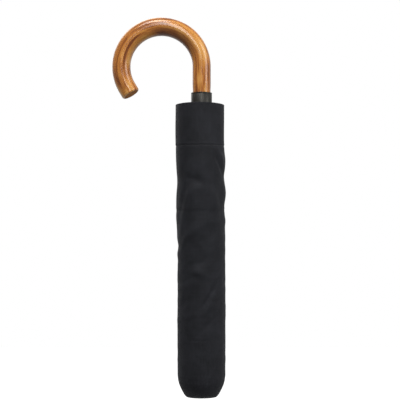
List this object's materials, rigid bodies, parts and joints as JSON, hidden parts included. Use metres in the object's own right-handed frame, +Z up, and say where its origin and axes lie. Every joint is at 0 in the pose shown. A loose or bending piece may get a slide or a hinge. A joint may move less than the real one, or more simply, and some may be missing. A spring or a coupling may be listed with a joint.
{
  "type": "folding crook umbrella in its sleeve",
  "caption": "Folding umbrella with a bent wooden crook handle, telescopic shaft and two-stage ribs, kept in a soft black cloth sleeve.",
  "frame": {"origin": "middle of the flat bottom of the sleeve, on the shaft's axis", "axes": "+Z up the shaft from the sleeve's bottom to the crook, -X towards the hooked side, Y across the thickness"},
  "size_m": [0.1253, 0.0526, 0.4175],
  "materials": {
    "varnished_wood": "gloss varnish over bent beech",
    "gunmetal_collar": "polished dark nickel",
    "steel_tube": "drawn steel",
    "black_nylon": "moulded nylon",
    "bright_catch": "polished",
    "elastic_band": "woven elastic",
    "sleeve_cloth": "plain woven polyester, matt",
    "canopy_cloth": "pongee with a soft sheen",
    "black_rib": "black lacquer",
    "rib_steel": "zinc plated"
  },
  "bodies": {
    "handle": {"handle": "varnished_wood", "collar": "gunmetal_collar", "lower_tube": "steel_tube", "shaft_plug": "black_nylon"},
    "shaft": {"upper_tube": "steel_tube", "crown": "black_nylon", "top_cap": "black_nylon"},
    "top_rib_1": {"top_rib_1": "rib_steel"},
    "top_rib_2": {"top_rib_2": "rib_steel"},
    "top_rib_3": {"top_rib_3": "rib_steel"},
    "top_rib_4": {"top_rib_4": "rib_steel"},
    "top_rib_5": {"top_rib_5": "rib_steel"},
    "top_rib_6": {"top_rib_6": "rib_steel"},
    "top_rib_7": {"top_rib_7": "rib_steel"},
    "top_rib_8": {"top_rib_8": "rib_steel"},
    "stretcher_1": {"stretcher_1": "rib_steel"},
    "stretcher_2": {"stretcher_2": "rib_steel"},
    "stretcher_3": {"stretcher_3": "rib_steel"},
    "stretcher_4": {"stretcher_4": "rib_steel"},
    "stretcher_5": {"stretcher_5": "rib_steel"},
    "stretcher_6": {"stretcher_6": "rib_steel"},
    "stretcher_7": {"stretcher_7": "rib_steel"},
    "stretcher_8": {"stretcher_8": "rib_steel"},
    "link_1": {"link_1": "rib_steel"},
    "link_2": {"link_2": "rib_steel"},
    "link_3": {"link_3": "rib_steel"},
    "link_4": {"link_4": "rib_steel"},
    "link_5": {"link_5": "rib_steel"},
    "link_6": {"link_6": "rib_steel"},
    "link_7": {"link_7": "rib_steel"},
    "link_8": {"link_8": "rib_steel"},
    "outer_rib_1": {"outer_rib_1": "black_rib"},
    "outer_rib_2": {"outer_rib_2": "black_rib"},
    "outer_rib_3": {"outer_rib_3": "black_rib"},
    "outer_rib_4": {"outer_rib_4": "black_rib"},
    "outer_rib_5": {"outer_rib_5": "black_rib"},
    "outer_rib_6": {"outer_rib_6": "black_rib"},
    "outer_rib_7": {"outer_rib_7": "black_rib"},
    "outer_rib_8": {"outer_rib_8": "black_rib"},
    "canopy_outer_1": {"canopy_outer_1": "canopy_cloth"},
    "canopy_outer_2": {"canopy_outer_2": "canopy_cloth"},
    "canopy_outer_3": {"canopy_outer_3": "canopy_cloth"},
    "canopy_outer_4": {"canopy_outer_4": "canopy_cloth"},
    "canopy_outer_5": {"canopy_outer_5": "canopy_cloth"},
    "canopy_outer_6": {"canopy_outer_6": "canopy_cloth"},
    "canopy_outer_7": {"canopy_outer_7": "canopy_cloth"},
    "canopy_outer_8": {"canopy_outer_8": "canopy_cloth"},
    "canopy_inner_1": {"canopy_inner_1": "canopy_cloth"},
    "canopy_inner_2": {"canopy_inner_2": "canopy_cloth"},
    "canopy_inner_3": {"canopy_inner_3": "canopy_cloth"},
    "canopy_inner_4": {"canopy_inner_4": "canopy_cloth"},
    "canopy_inner_5": {"canopy_inner_5": "canopy_cloth"},
    "canopy_inner_6": {"canopy_inner_6": "canopy_cloth"},
    "canopy_inner_7": {"canopy_inner_7": "canopy_cloth"},
    "canopy_inner_8": {"canopy_inner_8": "canopy_cloth"},
    "canopy_inner_9": {"canopy_inner_9": "canopy_cloth"},
    "runner": {"runner": "black_nylon"},
    "runner_button": {"runner_button": "bright_catch"},
    "closure_band": {"closure_band": "elastic_band"},
    "sleeve": {"sleeve": "sleeve_cloth"}
  },
  "joints": [
    {"name": "shaft_extend", "type": "slide", "parent": "handle", "child": "shaft", "axis": [0, 0, -1], "range_m": [0, 0.262]},
    {"name": "frame_open", "type": "hinge", "parent": "shaft", "child": "top_rib_1", "pos_m": [0.01, 0, 0.014], "axis": [0, 1, 0], "range_deg": [0, 66], "deforming": ["canopy_inner_1", "canopy_inner_2", "canopy_inner_3", "canopy_inner_4", "canopy_inner_5", "canopy_inner_6", "canopy_inner_7", "canopy_inner_8", "canopy_inner_9", "canopy_outer_1", "canopy_outer_2", "canopy_outer_3", "canopy_outer_4", "canopy_outer_5", "canopy_outer_6", "canopy_outer_7", "canopy_outer_8", "sleeve", "closure_band"]},
    {"name": "stretcher_1_hinge", "type": "hinge", "parent": "top_rib_1", "child": "stretcher_1", "pos_m": [0.01, 0, 0.154], "axis": [0, 1, 0], "range_deg": [-132, 0]},
    {"name": "link_1_hinge", "type": "hinge", "parent": "top_rib_1", "child": "link_1", "pos_m": [0.01, 0, 0.162], "axis": [0, 1, 0], "range_deg": [-132, 0]},
    {"name": "outer_rib_1_hinge", "type": "hinge", "parent": "stretcher_1", "child": "outer_rib_1", "pos_m": [0.0145, 0, 0.029], "axis": [0, 1, 0], "range_deg": [0, 132]},
    {"name": "top_rib_2_hinge", "type": "hinge", "parent": "shaft", "child": "top_rib_2", "pos_m": [0.00707, 0.00707, 0.014], "axis": [-0.7071, 0.7071, 0], "range_deg": [0, 66]},
    {"name": "stretcher_2_hinge", "type": "hinge", "parent": "top_rib_2", "child": "stretcher_2", "pos_m": [0.00707, 0.00707, 0.154], "axis": [-0.7071, 0.7071, 0], "range_deg": [-132, 0]},
    {"name": "link_2_hinge", "type": "hinge", "parent": "top_rib_2", "child": "link_2", "pos_m": [0.00707, 0.00707, 0.162], "axis": [-0.7071, 0.7071, 0], "range_deg": [-132, 0]},
    {"name": "outer_rib_2_hinge", "type": "hinge", "parent": "stretcher_2", "child": "outer_rib_2", "pos_m": [0.01025, 0.01025, 0.029], "axis": [-0.7071, 0.7071, 0], "range_deg": [0, 132]},
    {"name": "top_rib_3_hinge", "type": "hinge", "parent": "shaft", "child": "top_rib_3", "pos_m": [0, 0.01, 0.014], "axis": [-1, 0, 0], "range_deg": [0, 66]},
    {"name": "stretcher_3_hinge", "type": "hinge", "parent": "top_rib_3", "child": "stretcher_3", "pos_m": [0, 0.01, 0.154], "axis": [-1, 0, 0], "range_deg": [-132, 0]},
    {"name": "link_3_hinge", "type": "hinge", "parent": "top_rib_3", "child": "link_3", "pos_m": [0, 0.01, 0.162], "axis": [-1, 0, 0], "range_deg": [-132, 0]},
    {"name": "outer_rib_3_hinge", "type": "hinge", "parent": "stretcher_3", "child": "outer_rib_3", "pos_m": [0, 0.0145, 0.029], "axis": [-1, 0, 0], "range_deg": [0, 132]},
    {"name": "top_rib_4_hinge", "type": "hinge", "parent": "shaft", "child": "top_rib_4", "pos_m": [-0.00707, 0.00707, 0.014], "axis": [-0.7071, -0.7071, 0], "range_deg": [0, 66]},
    {"name": "stretcher_4_hinge", "type": "hinge", "parent": "top_rib_4", "child": "stretcher_4", "pos_m": [-0.00707, 0.00707, 0.154], "axis": [-0.7071, -0.7071, 0], "range_deg": [-132, 0]},
    {"name": "link_4_hinge", "type": "hinge", "parent": "top_rib_4", "child": "link_4", "pos_m": [-0.00707, 0.00707, 0.162], "axis": [-0.7071, -0.7071, 0], "range_deg": [-132, 0]},
    {"name": "outer_rib_4_hinge", "type": "hinge", "parent": "stretcher_4", "child": "outer_rib_4", "pos_m": [-0.01025, 0.01025, 0.029], "axis": [-0.7071, -0.7071, 0], "range_deg": [0, 132]},
    {"name": "top_rib_5_hinge", "type": "hinge", "parent": "shaft", "child": "top_rib_5", "pos_m": [-0.01, 0, 0.014], "axis": [0, -1, 0], "range_deg": [0, 66]},
    {"name": "stretcher_5_hinge", "type": "hinge", "parent": "top_rib_5", "child": "stretcher_5", "pos_m": [-0.01, 0, 0.154], "axis": [0, -1, 0], "range_deg": [-132, 0]},
    {"name": "link_5_hinge", "type": "hinge", "parent": "top_rib_5", "child": "link_5", "pos_m": [-0.01, 0, 0.162], "axis": [0, -1, 0], "range_deg": [-132, 0]},
    {"name": "outer_rib_5_hinge", "type": "hinge", "parent": "stretcher_5", "child": "outer_rib_5", "pos_m": [-0.0145, 0, 0.029], "axis": [0, -1, 0], "range_deg": [0, 132]},
    {"name": "top_rib_6_hinge", "type": "hinge", "parent": "shaft", "child": "top_rib_6", "pos_m": [-0.00707, -0.00707, 0.014], "axis": [0.7071, -0.7071, 0], "range_deg": [0, 66]},
    {"name": "stretcher_6_hinge", "type": "hinge", "parent": "top_rib_6", "child": "stretcher_6", "pos_m": [-0.00707, -0.00707, 0.154], "axis": [0.7071, -0.7071, 0], "range_deg": [-132, 0]},
    {"name": "link_6_hinge", "type": "hinge", "parent": "top_rib_6", "child": "link_6", "pos_m": [-0.00707, -0.00707, 0.162], "axis": [0.7071, -0.7071, 0], "range_deg": [-132, 0]},
    {"name": "outer_rib_6_hinge", "type": "hinge", "parent": "stretcher_6", "child": "outer_rib_6", "pos_m": [-0.01025, -0.01025, 0.029], "axis": [0.7071, -0.7071, 0], "range_deg": [0, 132]},
    {"name": "top_rib_7_hinge", "type": "hinge", "parent": "shaft", "child": "top_rib_7", "pos_m": [0, -0.01, 0.014], "axis": [1, 0, 0], "range_deg": [0, 66]},
    {"name": "stretcher_7_hinge", "type": "hinge", "parent": "top_rib_7", "child": "stretcher_7", "pos_m": [0, -0.01, 0.154], "axis": [1, 0, 0], "range_deg": [-132, 0]},
    {"name": "link_7_hinge", "type": "hinge", "parent": "top_rib_7", "child": "link_7", "pos_m": [0, -0.01, 0.162], "axis": [1, 0, 0], "range_deg": [-132, 0]},
    {"name": "outer_rib_7_hinge", "type": "hinge", "parent": "stretcher_7", "child": "outer_rib_7", "pos_m": [0, -0.0145, 0.029], "axis": [1, 0, 0], "range_deg": [0, 132]},
    {"name": "top_rib_8_hinge", "type": "hinge", "parent": "shaft", "child": "top_rib_8", "pos_m": [0.00707, -0.00707, 0.014], "axis": [0.7071, 0.7071, 0], "range_deg": [0, 66]},
    {"name": "stretcher_8_hinge", "type": "hinge", "parent": "top_rib_8", "child": "stretcher_8", "pos_m": [0.00707, -0.00707, 0.154], "axis": [0.7071, 0.7071, 0], "range_deg": [-132, 0]},
    {"name": "link_8_hinge", "type": "hinge", "parent": "top_rib_8", "child": "link_8", "pos_m": [0.00707, -0.00707, 0.162], "axis": [0.7071, 0.7071, 0], "range_deg": [-132, 0]},
    {"name": "outer_rib_8_hinge", "type": "hinge", "parent": "stretcher_8", "child": "outer_rib_8", "pos_m": [0.01025, -0.01025, 0.029], "axis": [0.7071, 0.7071, 0], "range_deg": [0, 132]},
    {"name": "runner_slide", "type": "hinge", "parent": "stretcher_1", "child": "runner", "pos_m": [0.01, 0, 0.294], "axis": [0, 1, 0], "range_deg": [0, 66]},
    {"name": "canopy_outer_1_spread", "type": "hinge", "parent": "outer_rib_1", "child": "canopy_outer_1", "pos_m": [0.10454, 0.0433, -0.1746], "axis": [-0.7922, -0.3282, -0.5145], "range_deg": [0, 48.12]},
    {"name": "canopy_outer_2_spread", "type": "hinge", "parent": "outer_rib_2", "child": "canopy_outer_2", "pos_m": [0.0433, 0.10454, -0.1746], "axis": [-0.3282, -0.7922, -0.5145], "range_deg": [0, 48.12]},
    {"name": "canopy_outer_3_spread", "type": "hinge", "parent": "outer_rib_3", "child": "canopy_outer_3", "pos_m": [-0.0433, 0.10454, -0.1746], "axis": [0.3282, -0.7922, -0.5145], "range_deg": [0, 48.12]},
    {"name": "canopy_outer_4_spread", "type": "hinge", "parent": "outer_rib_4", "child": "canopy_outer_4", "pos_m": [-0.10454, 0.0433, -0.1746], "axis": [0.7922, -0.3282, -0.5145], "range_deg": [0, 48.12]},
    {"name": "canopy_outer_5_spread", "type": "hinge", "parent": "outer_rib_5", "child": "canopy_outer_5", "pos_m": [-0.10454, -0.0433, -0.1746], "axis": [0.7922, 0.3282, -0.5145], "range_deg": [0, 48.12]},
    {"name": "canopy_outer_6_spread", "type": "hinge", "parent": "outer_rib_6", "child": "canopy_outer_6", "pos_m": [-0.0433, -0.10454, -0.1746], "axis": [0.3282, 0.7922, -0.5145], "range_deg": [0, 48.12]},
    {"name": "canopy_outer_7_spread", "type": "hinge", "parent": "outer_rib_7", "child": "canopy_outer_7", "pos_m": [0.0433, -0.10454, -0.1746], "axis": [-0.3282, 0.7922, -0.5145], "range_deg": [0, 48.12]},
    {"name": "canopy_outer_8_spread", "type": "hinge", "parent": "outer_rib_8", "child": "canopy_outer_8", "pos_m": [0.10454, -0.0433, -0.1746], "axis": [-0.7922, 0.3282, -0.5145], "range_deg": [0, 48.12]},
    {"name": "canopy_inner_1_spread", "type": "hinge", "parent": "shaft", "child": "canopy_inner_1", "pos_m": [0.0084, 0, 0.01848], "axis": [0, 1, 0], "range_deg": [0, 87.7]},
    {"name": "canopy_inner_2_spread", "type": "hinge", "parent": "canopy_inner_1", "child": "canopy_inner_2", "pos_m": [0.00164, 0.00068, 0.01199], "axis": [-0.691, -0.2862, -0.6638], "range_deg": [0, 61.49]},
    {"name": "canopy_inner_3_spread", "type": "hinge", "parent": "canopy_inner_2", "child": "canopy_inner_3", "pos_m": [0.00068, 0.00164, 0.01199], "axis": [-0.2862, -0.691, -0.6638], "range_deg": [0, 61.49]},
    {"name": "canopy_inner_4_spread", "type": "hinge", "parent": "canopy_inner_3", "child": "canopy_inner_4", "pos_m": [-0.00068, 0.00164, 0.01199], "axis": [0.2862, -0.691, -0.6638], "range_deg": [0, 61.49]},
    {"name": "canopy_inner_5_spread", "type": "hinge", "parent": "canopy_inner_4", "child": "canopy_inner_5", "pos_m": [-0.00164, 0.00068, 0.01199], "axis": [0.691, -0.2862, -0.6638], "range_deg": [0, 61.49]},
    {"name": "canopy_inner_6_spread", "type": "hinge", "parent": "canopy_inner_5", "child": "canopy_inner_6", "pos_m": [-0.00164, -0.00068, 0.01199], "axis": [0.691, 0.2862, -0.6638], "range_deg": [0, 61.49]},
    {"name": "canopy_inner_7_spread", "type": "hinge", "parent": "canopy_inner_6", "child": "canopy_inner_7", "pos_m": [-0.00068, -0.00164, 0.01199], "axis": [0.2862, 0.691, -0.6638], "range_deg": [0, 61.49]},
    {"name": "canopy_inner_8_spread", "type": "hinge", "parent": "canopy_inner_7", "child": "canopy_inner_8", "pos_m": [0.00068, -0.00164, 0.01199], "axis": [-0.2862, 0.691, -0.6638], "range_deg": [0, 61.49]},
    {"name": "canopy_inner_9_spread", "type": "hinge", "parent": "canopy_inner_8", "child": "canopy_inner_9", "pos_m": [0.00164, -0.00068, 0.01199], "axis": [-0.691, 0.2862, -0.6638], "range_deg": [0, 61.49]},
    {"name": "closure_band_slide", "type": "slide", "parent": "shaft", "child": "closure_band", "axis": [0, 0, -1], "range_m": [0, 0.33]},
    {"name": "sleeve_slide", "type": "slide", "parent": "closure_band", "child": "sleeve", "axis": [0, 0, -1], "range_m": [0, 0.33]},
    {"name": "runner_button_press", "type": "slide", "parent": "runner", "child": "runner_button", "axis": [-0.9239, -0.3827, 0], "range_m": [0, 0.0012], "stiffness_N_per_m": 300, "springref_m": -0.001}
  ],
  "couplings": [
    {"joint": "stretcher_1_hinge", "follows": "frame_open", "ratio": -2},
    {"joint": "link_1_hinge", "follows": "frame_open", "ratio": -2},
    {"joint": "outer_rib_1_hinge", "follows": "frame_open", "ratio": 2},
    {"joint": "top_rib_2_hinge", "follows": "frame_open", "ratio": 1},
    {"joint": "stretcher_2_hinge", "follows": "frame_open", "ratio": -2},
    {"joint": "link_2_hinge", "follows": "frame_open", "ratio": -2},
    {"joint": "outer_rib_2_hinge", "follows": "frame_open", "ratio": 2},
    {"joint": "top_rib_3_hinge", "follows": "frame_open", "ratio": 1},
    {"joint": "stretcher_3_hinge", "follows": "frame_open", "ratio": -2},
    {"joint": "link_3_hinge", "follows": "frame_open", "ratio": -2},
    {"joint": "outer_rib_3_hinge", "follows": "frame_open", "ratio": 2},
    {"joint": "top_rib_4_hinge", "follows": "frame_open", "ratio": 1},
    {"joint": "stretcher_4_hinge", "follows": "frame_open", "ratio": -2},
    {"joint": "link_4_hinge", "follows": "frame_open", "ratio": -2},
    {"joint": "outer_rib_4_hinge", "follows": "frame_open", "ratio": 2},
    {"joint": "top_rib_5_hinge", "follows": "frame_open", "ratio": 1},
    {"joint": "stretcher_5_hinge", "follows": "frame_open", "ratio": -2},
    {"joint": "link_5_hinge", "follows": "frame_open", "ratio": -2},
    {"joint": "outer_rib_5_hinge", "follows": "frame_open", "ratio": 2},
    {"joint": "top_rib_6_hinge", "follows": "frame_open", "ratio": 1},
    {"joint": "stretcher_6_hinge", "follows": "frame_open", "ratio": -2},
    {"joint": "link_6_hinge", "follows": "frame_open", "ratio": -2},
    {"joint": "outer_rib_6_hinge", "follows": "frame_open", "ratio": 2},
    {"joint": "top_rib_7_hinge", "follows": "frame_open", "ratio": 1},
    {"joint": "stretcher_7_hinge", "follows": "frame_open", "ratio": -2},
    {"joint": "link_7_hinge", "follows": "frame_open", "ratio": -2},
    {"joint": "outer_rib_7_hinge", "follows": "frame_open", "ratio": 2},
    {"joint": "top_rib_8_hinge", "follows": "frame_open", "ratio": 1},
    {"joint": "stretcher_8_hinge", "follows": "frame_open", "ratio": -2},
    {"joint": "link_8_hinge", "follows": "frame_open", "ratio": -2},
    {"joint": "outer_rib_8_hinge", "follows": "frame_open", "ratio": 2},
    {"joint": "runner_slide", "follows": "frame_open", "ratio": 1},
    {"joint": "canopy_outer_1_spread", "follows": "frame_open", "ratio": 0.72909},
    {"joint": "canopy_outer_2_spread", "follows": "frame_open", "ratio": 0.72909},
    {"joint": "canopy_outer_3_spread", "follows": "frame_open", "ratio": 0.72909},
    {"joint": "canopy_outer_4_spread", "follows": "frame_open", "ratio": 0.72909},
    {"joint": "canopy_outer_5_spread", "follows": "frame_open", "ratio": 0.72909},
    {"joint": "canopy_outer_6_spread", "follows": "frame_open", "ratio": 0.72909},
    {"joint": "canopy_outer_7_spread", "follows": "frame_open", "ratio": 0.72909},
    {"joint": "canopy_outer_8_spread", "follows": "frame_open", "ratio": 0.72909},
    {"joint": "canopy_inner_1_spread", "follows": "frame_open", "ratio": 1.3287},
    {"joint": "canopy_inner_2_spread", "follows": "frame_open", "ratio": 0.9317},
    {"joint": "canopy_inner_3_spread", "follows": "frame_open", "ratio": 0.9317},
    {"joint": "canopy_inner_4_spread", "follows": "frame_open", "ratio": 0.9317},
    {"joint": "canopy_inner_5_spread", "follows": "frame_open", "ratio": 0.9317},
    {"joint": "canopy_inner_6_spread", "follows": "frame_open", "ratio": 0.9317},
    {"joint": "canopy_inner_7_spread", "follows": "frame_open", "ratio": 0.9317},
    {"joint": "canopy_inner_8_spread", "follows": "frame_open", "ratio": 0.9317},
    {"joint": "canopy_inner_9_spread", "follows": "frame_open", "ratio": 0.9317},
    {"joint": "closure_band_slide", "follows": "frame_open", "m_per_rad": 0.28648}
  ]
}
